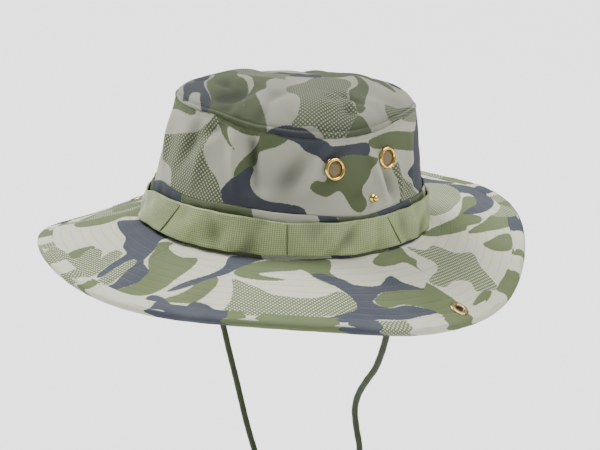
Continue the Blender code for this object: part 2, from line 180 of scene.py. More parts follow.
# On the brim each outline is (angle, share of the way from the crown to the edge).
BRIM_PRINT = {
    "green": (
        ((-131, .2), (-128, .3), (-127, .45), (-131, .66), (-145, .66), (-160, .4), (-150, .1), (-128, .02)),
        ((-110, .83), (-111, .7), (-110, .58), (-107, .6), (-106, .72), (-107, .84)),
        ((-96, .1), (-91, .04), (-90, .12), (-82, .19), (-76, .15), (-74.5, .28), (-75.5, .5), (-76, .68),
         (-78.5, .83), (-84, .88), (-88.5, .92), (-88, .87), (-85.5, .82), (-84, .7), (-85, .52), (-90, .36),
         (-93, .22)),
        ((-69, .46), (-65, .38), (-63.5, .52), (-65.5, .78), (-69, .84), (-74, .86), (-71, .72), (-69.5, .6)),
        ((-57, .1), (-50, .02), (-42, .02), (-38, .1), (-41, .17), (-50, .22), (-53, .27), (-45, .33),
         (-50, .36), (-58, .34), (-61, .28), (-60, .2)),
        ((-43, .0), (-29.5, .0), (-29, .1), (-30.5, .2), (-28.5, .3), (-30.5, .4), (-35.5, .3), (-38, .2),
         (-42, .1)),
        ((-22, .61), (-18, .5), (-12, .48), (-4, .52), (-1, .47), (1, .62), (2, .78), (1, 1.0), (-5, .9),
         (-8.5, .8), (-10, .74), (-14.5, .67), (-20, .7)),
        ((-13, .1), (-8, .02), (-3, .0), (5, .0), (4, .12), (5, .2), (2, .28), (3, .45), (0, .2), (-5, .18),
         (-11, .17)),
        ((8, .82), (12, .8), (15, .83), (14, .87), (9, .9), (5, .86)),
        ((25, .0), (36, .05), (43, .16), (48, .28), (52.5, .4), (50.5, .58), (46, .56), (43, .42), (40, .4),
         (38, .34), (33, .2), (28, .1)),
        ((38, .42), (42, .47), (46, .58), (51, .72), (51, .9), (46, .9), (43, .76), (41, .62), (39, .52)),
        ((34, .58), (37, .66), (40, .74), (41, .85), (34.5, .87), (32, .72), (32.5, .62)),
        ((66, .58), (67, .68), (64, .72), (59, .62), (54, .5), (51, .36), (56, .42)),
    ),
    "navy": (
        ((-121, .0), (-98, .0), (-97, .08), (-93, .22), (-92, .3), (-90, .42), (-85, .5), (-84, .6),
         (-84, .72),
         (-87, .9), (-89.5, .92), (-88.5, .8), (-90.5, .6), (-92, .46), (-94, .45), (-94, .6), (-93, .8),
         (-94.5, .82), (-97, .6), (-98.5, .42), (-103, .38), (-109, .28), (-120, .27), (-127, .25),
         (-124, .1)),
        ((-77, .8), (-74, .8), (-71.5, .86), (-69, .9), (-71, .97), (-77, .88)),
        ((-66.5, .8), (-63, .8), (-60, .87), (-54, .89), (-56, .97), (-66, .97)),
        ((-65, .02), (-53, .0), (-56, .08), (-60, .2), (-63, .33), (-67, .44), (-70, .58), (-73.5, .7),
         (-74.5, .69), (-73, .56), (-71, .47), (-67, .33), (-65, .2)),
        ((-37, .25), (-34, .21), (-30, .26), (-27, .31), (-25, .38), (-18, .41), (-12.5, .31), (-10, .31),
         (-8.5, .4), (-4, .54), (-8, .51), (-12, .49), (-18, .5), (-21, .57), (-22.5, .63), (-19.5, .7),
         (-14, .68), (-10, .74), (-7, .83), (-12, .84), (-17, .86), (-24, .86), (-28, .92), (-38, .93),
         (-31.5, .79), (-29, .7), (-28, .58), (-30, .44), (-32.5, .35)),
        ((81, .6), (79, .8), (72, .88), (64, .88), (57, .8), (52.5, .62), (52.5, .42), (56, .5), (59, .62),
         (64, .7), (69, .72), (73, .62)),
        ((95, .75), (88, .8), (80, .85), (82, .7), (90, .55), (100, .55), (105, .7)),
        ((64, .0), (63, .07), (57, .1), (50, .03), (56, .0)),
    ),
    "hatch": (
        ((-94, .46), (-91.5, .46), (-90, .62), (-89, .84), (-92, .9), (-93.5, .7)),
        ((-103, .45), (-99, .45), (-97, .62), (-95, .84), (-98, .92), (-100, .75), (-102, .6)),
        ((-109, .62), (-106, .55), (-102, .62), (-99, .78), (-100, .98), (-106, .92), (-113, 1.0), (-117, .9),
         (-112, .83), (-106, .8)),
        ((-60, .38), (-53, .47), (-48, .58), (-40, .6), (-35, .55), (-31, .48), (-28.5, .52), (-27.5, .62),
         (-28, .72), (-31, .79), (-37, .86), (-50, .92), (-58, .9), (-58, .7), (-59, .5)),
        ((8, .02), (14, .14), (21, .16), (23, .36), (27.5, .5), (23, .62), (21, .72), (18, .87), (15, .84),
         (11, .76), (13, .65), (9, .56), (3, .57), (0, .48), (3, .42), (8, .38), (11, .3), (9, .18)),
        ((70, .0), (84, .2), (88, .5), (84, .7), (75, .7), (66, .56), (60, .4), (55, .26), (52, .1),
         (58, .02)),
        ((50, .72), (53, .8), (57, .9), (55, .99), (50, .97)),
    ),
}
# Narrow strips are printed in lengths: (from angle, to angle) of each colour.
BINDING_PRINT = {
    "green": ((-133, -126), (-94, -91), (-58, -32), (-7, 1), (17, 27), (33, 35.5), (54, 59), (75, 90)),
    "navy": ((-74, -57), (-33, -24), (43, 50), (66, 74), (-150, -142)),
    "hatch": ((-120, -107), (-101, -95), (-24, -17), (50, 54), (59, 64)),
}
STRIP_PRINT = {
    "green": ((-94, -60), (-26, -8), (14, 32), (60, 80)),
    "navy": ((-128, -94), (-34, -26), (-8, 14), (38, 56)),
    "hatch": (),
}
PRINT_TURN = 207.0


def linear(*srgb):
    """A linear colour from 0 to 255 screen values."""
    return tuple((v / 255 / 12.92) if v < 11 else ((v / 255 + 0.055) / 1.055) ** 2.4 for v in srgb)


PALE = linear(184, 185, 166)
GREEN = linear(78, 91, 50)
NAVY = linear(36, 42, 60)
LINING_GREEN = linear(84, 92, 58)
CORD_GREEN = linear(50, 60, 32)
BRASS_GOLD = linear(228, 194, 108)
BRASS_DARK = linear(176, 140, 74)
ANTIQUE_LIGHT = linear(176, 150, 108)
ANTIQUE_DARK = linear(74, 58, 38)
SLIDER_GREEN = linear(46, 52, 36)


# ---------------------------------------------------------------- camera, light and floor

def add_camera():
    """The photograph's view: a long lens, a little above, from the wearer's front left."""
    azimuth, elevation, roll = math.radians(40.85), math.radians(16.79), math.radians(4.45)
    distance = 986.9 * MM
    level = math.cos(elevation)
    back = Vector((math.sin(azimuth) * level, -math.cos(azimuth) * level, math.sin(elevation)))
    right = Vector((math.cos(azimuth), math.sin(azimuth), 0))
    up = back.cross(right)
    across = right * math.cos(roll) + up * math.sin(roll)
    upward = up * math.cos(roll) - right * math.sin(roll)
    place = across * 8.2 * MM - upward * 4.7 * MM + back * distance
    data = bpy.data.cameras.new("camera")
    data.lens = 87.0
    data.sensor_width = 36.0
    camera = bpy.data.objects.new("camera", data)
    bpy.context.scene.collection.objects.link(camera)
    camera.matrix_world = Matrix.Translation(place) @ Matrix((across, upward, back)).transposed().to_4x4()
    bpy.context.scene.camera = camera
    return camera


def add_sun(name, towards, spread, strength):
    """Soft light from one side, equally strong everywhere."""
    data = bpy.data.lights.new(name, "SUN")
    data.energy = strength
    data.angle = spread
    light = bpy.data.objects.new(name, data)
    bpy.context.scene.collection.objects.link(light)
    light.rotation_euler = Vector(towards).to_track_quat("Z", "Y").to_euler()
    return light


def add_studio():
    """A pale floor and soft light from all round."""
    floor_height = CAD_BOUNDS[0][2] - 0.002
    mesh = bpy.data.meshes.new("floor")
    size = 12.0
    corners = [(x * size, y * size, floor_height) for x, y in ((-1, -1), (1, -1), (1, 1), (-1, 1))]
    mesh.from_pydata(corners, [], [(0, 1, 2, 3)])
    floor = bpy.data.objects.new("floor", mesh)
    bpy.context.scene.collection.objects.link(floor)
    paint = bpy.data.materials.new("floor_paint")
    paint.use_nodes = True
    shader = paint.node_tree.nodes["Principled BSDF"]
    shader.inputs["Base Color"].default_value = (0.93, 0.93, 0.93, 1)
    shader.inputs["Roughness"].default_value = 0.9
    mesh.materials.append(paint)
    world = bpy.data.worlds.new("studio")
    bpy.context.scene.world = world
    world.use_nodes = True
    background = world.node_tree.nodes["Background"]
    background.inputs["Color"].default_value = (0.96, 0.98, 1.0, 1)
    background.inputs["Strength"].default_value = 0.34
    add_sun("key", (-0.85, -0.25, 1.25), math.radians(24), 5.4)
    add_sun("fill", (0.5, 0.6, 1.5), math.radians(50), 3.8)


# ---------------------------------------------------------------- shader building

class Nodes:
    """Short calls for building one material's nodes."""

    def __init__(self, name):
        self.material = bpy.data.materials.new(name)
        self.material.use_nodes = True
        self.tree = self.material.node_tree
        self.shader = self.tree.nodes["Principled BSDF"]

    def link(self, source, target):
        self.tree.links.new(source, target)

    def feed(self, socket, value):
        if isinstance(value, bpy.types.NodeSocket):
            self.link(value, socket)
        else:
            socket.default_value = value

    def math(self, kind, first, second=0.0, clamp=False):
        node = self.tree.nodes.new("ShaderNodeMath")
        node.operation = kind
        node.use_clamp = clamp
        self.feed(node.inputs[0], first)
        self.feed(node.inputs[1], second)
        return node.outputs[0]

    def attribute(self, name):
        node = self.tree.nodes.new("ShaderNodeAttribute")
        node.attribute_name = name
        return node.outputs["Fac"]

    def cloth_uv(self, turn=0.0):
        """The cloth's own flat coordinates in millimetres, turned by an angle."""
        uv = self.tree.nodes.new("ShaderNodeUVMap")
        uv.uv_map = "Cloth"
        mapping = self.tree.nodes.new("ShaderNodeMapping")
        mapping.inputs["Scale"].default_value = (100, 100, 100)
        mapping.inputs["Rotation"].default_value = (0, 0, turn)
        self.link(uv.outputs[0], mapping.inputs[0])
        split = self.tree.nodes.new("ShaderNodeSeparateXYZ")
        self.link(mapping.outputs[0], split.inputs[0])
        return mapping.outputs[0], split.outputs[0], split.outputs[1]

    def noise(self, vector, scale, detail=3.0):
        node = self.tree.nodes.new("ShaderNodeTexNoise")
        node.inputs["Scale"].default_value = scale
        node.inputs["Detail"].default_value = detail
        self.link(vector, node.inputs["Vector"])
        return node.outputs["Fac"]

    def mix(self, amount, first, second):
        node = self.tree.nodes.new("ShaderNodeMix")
        node.data_type = "RGBA"
        self.feed(node.inputs["Factor"], amount)
        for socket, value in ((node.inputs[6], first), (node.inputs[7], second)):
            self.feed(socket, value if isinstance(value, bpy.types.NodeSocket) else (*value, 1.0))
        return node.outputs[2]

    def step(self, value, middle, width):
        """From 1 below the middle to 0 above it, over a width."""
        node = self.tree.nodes.new("ShaderNodeMapRange")
        node.interpolation_type = "SMOOTHSTEP"
        node.inputs["From Min"].default_value = middle - width
        node.inputs["From Max"].default_value = middle + width
        node.inputs["To Min"].default_value = 1.0
        node.inputs["To Max"].default_value = 0.0
        self.link(value, node.inputs["Value"])
        return node.outputs[0]

    def stripe(self, value, pitch, width, softness=0.12):
        """Lines of a width at each pitch: 1 on a line."""
        phase = self.math("FRACT", self.math("DIVIDE", value, pitch))
        away = self.math("MULTIPLY", self.math("ABSOLUTE", self.math("SUBTRACT", phase, 0.5)), pitch)
        return self.step(away, width / 2, softness)

    def bump(self, height, distance, strength=1.0):
        node = self.tree.nodes.new("ShaderNodeBump")
        node.inputs["Strength"].default_value = strength
        node.inputs["Distance"].default_value = distance
        self.link(height, node.inputs["Height"])
        self.link(node.outputs[0], self.shader.inputs["Normal"])

    def finish(self, roughness, metallic=0.0, sheen=0.0):
        self.shader.inputs["Roughness"].default_value = roughness
        self.shader.inputs["Metallic"].default_value = metallic
        self.shader.inputs["Sheen Weight"].default_value = sheen
        self.shader.inputs["Sheen Roughness"].default_value = 0.5
        return self.material


def camouflage(name, net_turn=45, stitched=False, shade=1.0):
    """Printed cotton twill: pale ground, green and navy shapes, and patches of a green net.

    A shade below 1 paints the cloth darker than it is, as the photograph's light shows the crown.
    """
    n = Nodes(name)
    vector, across, along = n.cloth_uv()
    _, net_a, net_b = n.cloth_uv(math.radians(net_turn))
    ragged = n.math("MULTIPLY", n.math("SUBTRACT", n.noise(vector, 0.6, 2.0), 0.5), 1.4)
    net = n.math("MAXIMUM", n.stripe(net_a, 2.0, 1.0, 0.2), n.stripe(net_b, 2.0, 1.0, 0.2))
    masks = {
        kind: n.step(n.math("ADD", n.attribute(kind), ragged), 0.0, 0.35)
        for kind in ("green", "navy", "hatch")
    }
    colour = n.mix(masks["green"], PALE, GREEN)
    colour = n.mix(masks["navy"], colour, NAVY)
    netting = n.mix(net, PALE, GREEN)
    colour = n.mix(masks["hatch"], colour, netting)
    faded = n.math("MULTIPLY", n.noise(vector, 0.035, 4.0), 0.10)
    colour = n.mix(faded, colour, linear(196, 196, 180))
    grain = n.noise(vector, 1.6, 2.0)
    colour = n.mix(n.math("MULTIPLY", grain, 0.10), colour, (0.03, 0.035, 0.03))
    # Painted shade: the cloth is darkened in its creases and dents, where the folds fall in shade.
    painted_crease_shade = n.math("MULTIPLY", n.attribute("painted_crease_shade"), 0.6, clamp=True)
    colour = n.mix(painted_crease_shade, colour, linear(24, 26, 12))
    if shade < 1.0:
        colour = n.mix(1.0 - shade, colour, linear(12, 14, 13))
    diagonal = n.math("ADD", across, along)
    twill = n.stripe(diagonal, 0.62, 0.3, 0.1)
    relief = n.math("ADD", n.math("MULTIPLY", twill, 0.25), n.math("MULTIPLY", grain, 0.4))
    if stitched:
        run = n.attribute("run")
        row = n.stripe(run, 6.3, 0.5, 0.35)
        dash = n.stripe(n.attribute("around"), 2.8, 1.9, 0.25)
        seam = n.math("MULTIPLY", row, n.math("ADD", n.math("MULTIPLY", dash, 0.45), 0.3))
        colour = n.mix(n.math("MULTIPLY", seam, 0.42), colour, linear(92, 94, 78))
        furrow = n.stripe(run, 6.3, 0.2, 1.3)
        relief = n.math("SUBTRACT", relief, n.math("MULTIPLY", furrow, 2.2))
    n.link(colour, n.shader.inputs["Base Color"])
    n.bump(relief, 0.00028, 0.7)
    return n.finish(0.92)


def webbing_material():
    """Flat woven webbing: fine ribs with a slight shine."""
    n = Nodes("webbing")
    vector, across, along = n.cloth_uv()
    ribs = n.stripe(across, 1.5, 0.8, 0.35)
    picks = n.stripe(along, 1.3, 0.7, 0.3)
    weave = n.math("ADD", n.math("MULTIPLY", ribs, 0.55), n.math("MULTIPLY", picks, 0.45))
    patch = n.noise(vector, 0.05, 3.0)
    colour = n.mix(n.math("MULTIPLY", weave, 0.5), linear(104, 118, 68), linear(200, 210, 158))
    colour = n.mix(n.math("MULTIPLY", patch, 0.35), colour, linear(112, 124, 78))
    # Painted shade: the webbing is darkened in its inward folds.
    colour = n.mix(n.math("MULTIPLY", n.attribute("painted_crease_shade"), 0.6, clamp=True), colour, linear(50, 58, 28))
    n.link(colour, n.shader.inputs["Base Color"])
    n.bump(weave, 0.00035, 0.8)
    return n.finish(0.42)


def plain_cloth(name, colour, pitch=0.9):
    """Plain weave in one mottled colour."""
    n = Nodes(name)
    vector, across, along = n.cloth_uv()
    weave = n.math("ADD", n.stripe(across, pitch, pitch / 2, 0.15), n.stripe(along, pitch, pitch / 2, 0.15))
    mottled = n.math("MULTIPLY", n.noise(vector, 0.12, 3.0), 0.4)
    n.link(n.mix(mottled, colour, tuple(v * 0.6 for v in colour)), n.shader.inputs["Base Color"])
    n.bump(weave, 0.0001, 0.5)
    return n.finish(0.9)


def cord_material():
    """Round braided cord: crossing strands."""
    n = Nodes("braided_cord")
    _, across, along = n.cloth_uv()
    one = n.stripe(n.math("ADD", across, along), 2.0, 1.1, 0.3)
    two = n.stripe(n.math("SUBTRACT", across, along), 2.0, 1.1, 0.3)
    strands = n.math("MAXIMUM", n.math("MULTIPLY", one, 0.8), two)
    colour = n.mix(strands, tuple(v * 0.45 for v in CORD_GREEN), tuple(v * 1.25 for v in CORD_GREEN))
    n.link(colour, n.shader.inputs["Base Color"])
    n.bump(strands, 0.0004, 0.9)
    return n.finish(0.8, sheen=0.2)


def metal(name, bright, dark, roughness):
    """Brass with darker tarnish in patches."""
    n = Nodes(name)
    place = n.tree.nodes.new("ShaderNodeTexCoord")
    tarnish = n.noise(place.outputs["Object"], 900.0, 4.0)
    n.link(n.mix(n.step(tarnish, 0.42, 0.12), bright, dark), n.shader.inputs["Base Color"])
    n.bump(tarnish, 0.00002, 0.2)
    return n.finish(roughness, metallic=1.0)


def gauze_material():
    """Fine wire gauze, as dark gaps between wires."""
    n = Nodes("gauze")
    _, across, along = n.cloth_uv()
    wires = n.math("MAXIMUM", n.stripe(across, 0.75, 0.32, 0.08), n.stripe(along, 0.75, 0.32, 0.08))
    n.link(n.mix(wires, linear(70, 60, 40), linear(140, 124, 92)), n.shader.inputs["Base Color"])
    n.bump(wires, 0.0003, 0.9)
    return n.finish(0.5, metallic=0.3)


def plastic_material():
    """Moulded plastic with a fine grain."""
    n = Nodes("slider_plastic")
    place = n.tree.nodes.new("ShaderNodeTexCoord")
    grain = n.noise(place.outputs["Object"], 900.0, 3.0)
    colour = n.mix(n.math("MULTIPLY", grain, 0.3), SLIDER_GREEN, linear(70, 76, 58))
    n.link(colour, n.shader.inputs["Base Color"])
    n.bump(grain, 0.0001, 0.4)
    return n.finish(0.45)


# ---------------------------------------------------------------- surfaces, in millimetres

def smooth_line(points, steps=8, closed=False):
    """Points on a smooth curve through the given points."""
    spots = np.array(points, float)
    if closed:
        padded = np.vstack([spots[-1], spots, spots[0], spots[1]])
    else:
        padded = np.vstack([2 * spots[0] - spots[1], spots, 2 * spots[-1] - spots[-2]])
    t = np.linspace(0, 1, steps, endpoint=False)[:, None]
    parts = []
    for a, b, c, d in zip(padded, padded[1:], padded[2:], padded[3:]):
        square, cube = 2 * a - 5 * b + 4 * c - d, 3 * b - a - 3 * c + d
        parts.append(0.5 * (2 * b + (c - a) * t + square * t**2 + cube * t**3))
    if not closed:
        parts.append(spots[-1:])
    return np.vstack(parts)


def all_round(columns):
    """Angles once round the hat, with the first not repeated at the end."""
    return np.linspace(-math.pi, math.pi, columns, endpoint=False)


def unrolled(columns, radius, levels):
    """A ring's flat cloth coordinates: length round at a radius, and height."""
    return np.stack(np.meshgrid(np.linspace(-math.pi, math.pi, columns + 1) * radius, levels), -1)


def degrees_from(angle, spot):
    """How many degrees an angle lies past a spot, from -180 to 180."""
    return (np.degrees(angle) - spot + 180) % 360 - 180


def crease(along, across, turn, length, width):
    """From 1 on a straight crease to 0 away from it, for offsets from its middle."""
    lengthwise = along * math.cos(turn) + across * math.sin(turn)
    sideways = across * math.cos(turn) - along * math.sin(turn)
    return np.exp(-(lengthwise / length) ** 2 - (sideways / width) ** 2)


def crown_wall(angle, height, outward=0.0):
    """Points on the crown's wall."""
    share = height / SEAM_HEIGHT
    bulge = WALL_BULGE * np.clip(share, 0, 1) ** 1.5 * (1.9 - 1.2 * share) + outward
    half_x = CROWN_FOOT[0] + (CROWN_SEAM[0] - CROWN_FOOT[0]) * share + bulge
    half_y = CROWN_FOOT[1] + (CROWN_SEAM[1] - CROWN_FOOT[1]) * share + bulge
    level = height + around_the_hat(SEAM_LIFT, angle) * np.clip(share, 0, 1) ** 3
    return np.stack([half_x * np.cos(angle), half_y * np.sin(angle), level], -1)


def around_the_hat(table, angle):
    """A smooth value around the hat from a few (angle, value) pairs."""
    line = smooth_line(table, 6)
    return np.interp(degrees_from(angle, 0), line[:, 0], line[:, 1])


TOP_LINE = smooth_line(TOP_PROFILE, 12)
TOP_RUN = np.concatenate([[0], np.cumsum(np.hypot(np.diff(TOP_LINE[:, 0]) * 78, np.diff(TOP_LINE[:, 1])))])


def crown_top(angle, run):
    """Points on the top panel, a run of cloth inwards from the seam."""
    scale = np.interp(run, TOP_RUN, TOP_LINE[:, 0])
    height = np.interp(run, TOP_RUN, TOP_LINE[:, 1])
    spread = WALL_BULGE * 0.7
    x = (CROWN_SEAM[0] + spread) * scale * np.cos(angle)
    y = (CROWN_SEAM[1] + spread) * scale * np.sin(angle)
    level = height + around_the_hat(SEAM_LIFT, angle) * np.exp(-run / 16)
    for middle_x, middle_y, radius, peak in TOP_PEAKS:
        near = np.exp(-((x - middle_x) ** 2 + (y - middle_y) ** 2) / radius**2)
        level = level + peak * near * np.clip(run / 10, 0, 1)
    return np.stack([x, y, level], -1)


def edge_height(angle):
    """The height of the brim's edge."""
    waves = {"cos": np.cos, "sin": np.sin}
    level = EDGE_LEVEL + around_the_hat(EDGE_LIFT, angle)
    return level + sum(size * waves[kind](count * angle) for count, kind, size in EDGE_WAVES)


def brim_middle(angle, share):
    """Points on the brim's middle surface."""
    root = np.stack([
        BRIM_ROOT[0] * np.cos(angle), BRIM_ROOT[1] * np.sin(angle), BRIM_ROOT[2] + 0 * angle,
    ], -1)
    edge = np.stack([
        BRIM_EDGE[0] * np.cos(angle) + BRIM_SHIFT[0],
        BRIM_EDGE[1] * np.sin(angle) + BRIM_SHIFT[1],
        edge_height(angle),
    ], -1)
    return root + (edge - root) * np.asarray(share)[..., None]


def brim_up(angle):
    """The brim's upward direction."""
    around = brim_middle(angle + 0.01, 0.8 + 0 * angle) - brim_middle(angle - 0.01, 0.8 + 0 * angle)
    outward = brim_middle(angle, 1.0 + 0 * angle) - brim_middle(angle, 0 * angle)
    up = np.cross(outward, around)
    return up / np.linalg.norm(up, axis=-1, keepdims=True)


def brim(angle, share, above):
    """Points above the brim's middle surface."""
    return brim_middle(angle, share) + brim_up(angle) * np.asarray(above)[..., None]


# ---------------------------------------------------------------- meshes

def grid_piece(name, points, uv, closed, material, thickness=0.0):
    """A sheet from a grid of points (rows, columns, 3) and its flat coordinates, both in millimetres."""
    rows, columns = points.shape[:2]
    wide = columns if closed else columns - 1
    row, column = np.meshgrid(np.arange(rows - 1), np.arange(wide), indexing="ij")
    following = (column + 1) % columns
    faces = np.stack([
        row * columns + column, row * columns + following,
        (row + 1) * columns + following, (row + 1) * columns + column,
    ], -1).reshape(-1, 4)
    mesh = bpy.data.meshes.new(name)
    mesh.from_pydata((points.reshape(-1, 3) * MM).tolist(), [], faces.tolist())
    uv_columns = uv.shape[1]
    uv_faces = np.stack([
        row * uv_columns + column, row * uv_columns + column + 1,
        (row + 1) * uv_columns + column + 1, (row + 1) * uv_columns + column,
    ], -1).reshape(-1, 4) if uv_columns > columns else faces
    layer = mesh.uv_layers.new(name="Cloth")
    layer.data.foreach_set("uv", (uv.reshape(-1, 2)[uv_faces.reshape(-1)] / 100).astype(np.float32).ravel())
    mesh.materials.append(material)
    mesh.polygons.foreach_set("use_smooth", np.ones(len(faces), bool))
    piece = bpy.data.objects.new(name, mesh)
    bpy.context.scene.collection.objects.link(piece)
    if thickness:
        solid = piece.modifiers.new("thickness", "SOLIDIFY")
        solid.thickness = thickness * MM
        solid.offset = -1.0
    return piece


def add_field(piece, name, values):
    """A number at each point of a piece, for its material."""
    attribute = piece.data.attributes.new(name, "FLOAT", "POINT")
    attribute.data.foreach_set("value", np.asarray(values, np.float32).ravel())


def apply_modifiers(piece):
    """Turn a piece's modifiers into its mesh."""
    depsgraph = bpy.context.evaluated_depsgraph_get()
    finished = piece.evaluated_get(depsgraph)
    mesh = bpy.data.meshes.new_from_object(finished, preserve_all_data_layers=True, depsgraph=depsgraph)
    piece.modifiers.clear()
    piece.data = mesh
    return piece


def outline_distance(spots, outline):
    """Signed distance from spots to a closed outline, negative inside."""
    start, end = outline, np.roll(outline, -1, axis=0)
    best = np.full(len(spots), 1e9)
    inside = np.zeros(len(spots), bool)
    for a, b in zip(start, end):
        edge = b - a
        t = np.clip(((spots - a) @ edge) / max(edge @ edge, 1e-9), 0, 1)
        best = np.minimum(best, np.hypot(*(spots - a - t[:, None] * edge).T))
        crosses = (a[1] > spots[:, 1]) != (b[1] > spots[:, 1])
        with np.errstate(divide="ignore", invalid="ignore"):
            at = a[0] + (spots[:, 1] - a[1]) * edge[0] / edge[1]
        inside ^= crosses & (spots[:, 0] < at)
    return np.where(inside, -best, best)


def paint_shapes(piece, spots, degrees, shapes, flatten):
    """Store how far each point lies from the print's shapes of each colour, repeated on the unseen side."""
    unseen = (degrees > 48) | (degrees < -136)
    for kind in ("green", "navy", "hatch"):
        field = np.full(len(spots), 30.0)
        for turn in (0.0, PRINT_TURN):
            for shape in shapes.get(kind, ()):
                outline = smooth_line(shape, 5, closed=True)
                if turn and not -118 < outline[:, 0].mean() < 40:
                    continue
                plan = flatten(np.radians(outline[:, 0] + turn), outline[:, 1])
                low, high = plan.min(0) - 30, plan.max(0) + 30
                near = np.all((spots > low) & (spots < high), axis=1)
                if turn:
                    near &= unseen
                if near.any():
                    field[near] = np.minimum(field[near], outline_distance(spots[near], plan))
        if kind != "hatch":
            for shape in shapes.get("pale", ()):
                outline = smooth_line(shape, 5, closed=True)
                plan = flatten(np.radians(outline[:, 0]), outline[:, 1])
                field = np.maximum(field, -outline_distance(spots, plan))
        add_field(piece, kind, field)


def add_seam_row(piece, inward, angle):
    """Mark one row of stitches beside a seam."""
    add_field(piece, "run", np.clip(inward, 0, 6.2))
    add_field(piece, "around", angle * 85)


def paint_lengths(piece, angle, lengths, radius):
    """Store the print of a narrow strip, in lengths along it."""
    degrees = degrees_from(angle, 0)
    for kind in ("green", "navy", "hatch"):
        field = np.full(degrees.shape, 30.0)
        for start, end in lengths[kind]:
            for turn in (0.0, PRINT_TURN, PRINT_TURN - 360):
                if turn and not -118 < (start + end) / 2 < 40:
                    continue
                away = np.maximum(start + turn - degrees, degrees - end - turn)
                field = np.minimum(field, np.radians(away) * radius)
        add_field(piece, kind, field)


# ---------------------------------------------------------------- the crown

WALL_RADIUS = 88
CREASE_STRENGTH = 1.7
# Creases pressed into the crown's wall: angle, height, lean, half length, half width, depth.
WALL_CREASES = (
    (-42, 46, 20, 24, 16, -1.2), (-63, 64, -14, 22, 3.5, -2.6), (-71, 60, -16, 20, 4.5, 2.2),
    (-97, 60, 24, 16, 6.0, -2.4),
    (-88, 52, 10, 14, 5.0, 1.6), (-47, 52, 34, 18, 7.0, -2.0), (-37, 58, 28, 18, 5.5, 2.0),
    (-28, 66, 50, 12, 4.0, -1.4), (-14, 40, 60, 12, 4.0, -1.2), (-5, 47, -18, 16, 3.2, 2.0),
    (1, 45, -20, 16, 3.2, -2.4), (7, 46, -18, 15, 3.2, 1.8), (18, 50, 12, 18, 5.0, 1.6),
    (-84, 72, 50, 12, 4.0, -1.6), (-118, 56, -10, 18, 5.0, 2.0), (-55, 40, 70, 16, 5.0, 1.2),
    (40, 56, -14, 20, 5.0, -2.0), (60, 50, 15, 20, 6.0, 2.0), (82, 62, 30, 18, 5.0, -1.8),
    (104, 50, -24, 20, 6.0, 2.2), (130, 60, 18, 20, 5.0, -2.2), (152, 48, -15, 18, 6.0, 2.0),
    (176, 60, 30, 18, 5.0, -2.0), (-160, 52, -24, 20, 6.0, 2.0), (-140, 60, 16, 18, 5.0, -2.0),
)


def near_trimmings(angle, height):
    """From 0 on an eyelet or stud to 1 away from them."""
    spots = [(at, level) for _, _, at, level, _ in eyelet_places()]
    spots += [(SIDE_ANGLE, STUD_HEIGHT), (180 - SIDE_ANGLE, STUD_HEIGHT)]
    free = np.ones(np.shape(height))
    for at, level in spots:
        turn = degrees_from(angle, at)
        free = free * (1 - np.exp(-((np.radians(turn) * 85) ** 2 + (height - level) ** 2) / 60))
    return free


def wall_relief(angle, height):
    """How far the soft wall stands in or out."""
    relief = 0.35 * np.sin(5 * angle + 0.07 * height) + 0.25 * np.sin(11 * angle - 0.11 * height + 1)
    for at, level, lean, length, width, depth in WALL_CREASES:
        across = np.radians(degrees_from(angle, at)) * WALL_RADIUS
        fold = crease(height - level, across, math.radians(lean), length, width)
        relief = relief + CREASE_STRENGTH * depth * fold
    relief = relief * np.clip((height - 26) / 12, 0.2, 1) * near_trimmings(angle, height)
    pucker = 0.22 * np.sin(angle * 70) * np.exp(-((SEAM_HEIGHT - height) / 3.0) ** 2)
    tuck = -0.4 * np.exp(-((SEAM_HEIGHT - height) / 1.6) ** 2)
    return relief * np.clip((SEAM_HEIGHT - height) / 8, 0, 1) + pucker + tuck


def eyelet_places():
    """Each eyelet's side, end, angle, height and the angle that it faces."""
    places = []
    for side, centre in (("left", EYELET_ANGLE), ("right", 180.0 - EYELET_ANGLE)):
        towards_front = -1 if side == "left" else 1
        for spot, turn, level in (("front", towards_front, 1.2), ("rear", -towards_front, 3.4)):
            lean = turn * EYELET_SPREAD + towards_front * (3.5 if spot == "rear" else 0.7)
            places.append((side, spot, centre + lean, EYELET_HEIGHT + level, centre + lean * 0.5))
    return places


def cut_eyelet_holes(wall):
    """Remove the wall's cloth inside each eyelet."""
    middles = [
        Vector(crown_wall(np.array(math.radians(at)), level)) * MM for _, _, at, level, _ in eyelet_places()
    ]
    mesh_data = bmesh.new()
    mesh_data.from_mesh(wall.data)
    inside = [
        face for face in mesh_data.faces
        if any((face.calc_center_median() - middle).length < 5.3 * MM for middle in middles)
    ]
    bmesh.ops.delete(mesh_data, geom=inside, context="FACES_ONLY")
    mesh_data.to_mesh(wall.data)
    mesh_data.free()


def build_wall(material):
    """The crown's wall, creased, with holes cut for the eyelets."""
    columns, rows = 420, 60
    angle = all_round(columns)
    height = np.linspace(0, SEAM_HEIGHT, rows)
    across, up = np.meshgrid(angle, height)
    points = crown_wall(across, up, 0.0)
    outward = np.stack([np.cos(across), np.sin(across), 0.2 + 0 * across], -1)
    relief = wall_relief(across, up)
    points = points + outward * relief[..., None]
    piece = grid_piece("crown_wall_cloth", points, unrolled(columns, 90, height), True, material, 0.8)
    # Painted shade in the wall's creases, for the material to darken.
    add_field(piece, "painted_crease_shade", np.clip(-relief / 5.5, 0, 1))
    cut_eyelet_holes(piece)

    def flatten(a, h):
        return np.stack([(95 + h) * np.cos(a), (95 + h) * np.sin(a)], -1)

    around = across.ravel()
    paint_shapes(piece, flatten(around, up.ravel()), np.degrees(around), WALL_PRINT, flatten)
    add_seam_row(piece, SEAM_HEIGHT - up, across)
    settle(apply_modifiers(piece), "hat", "crown_wall")


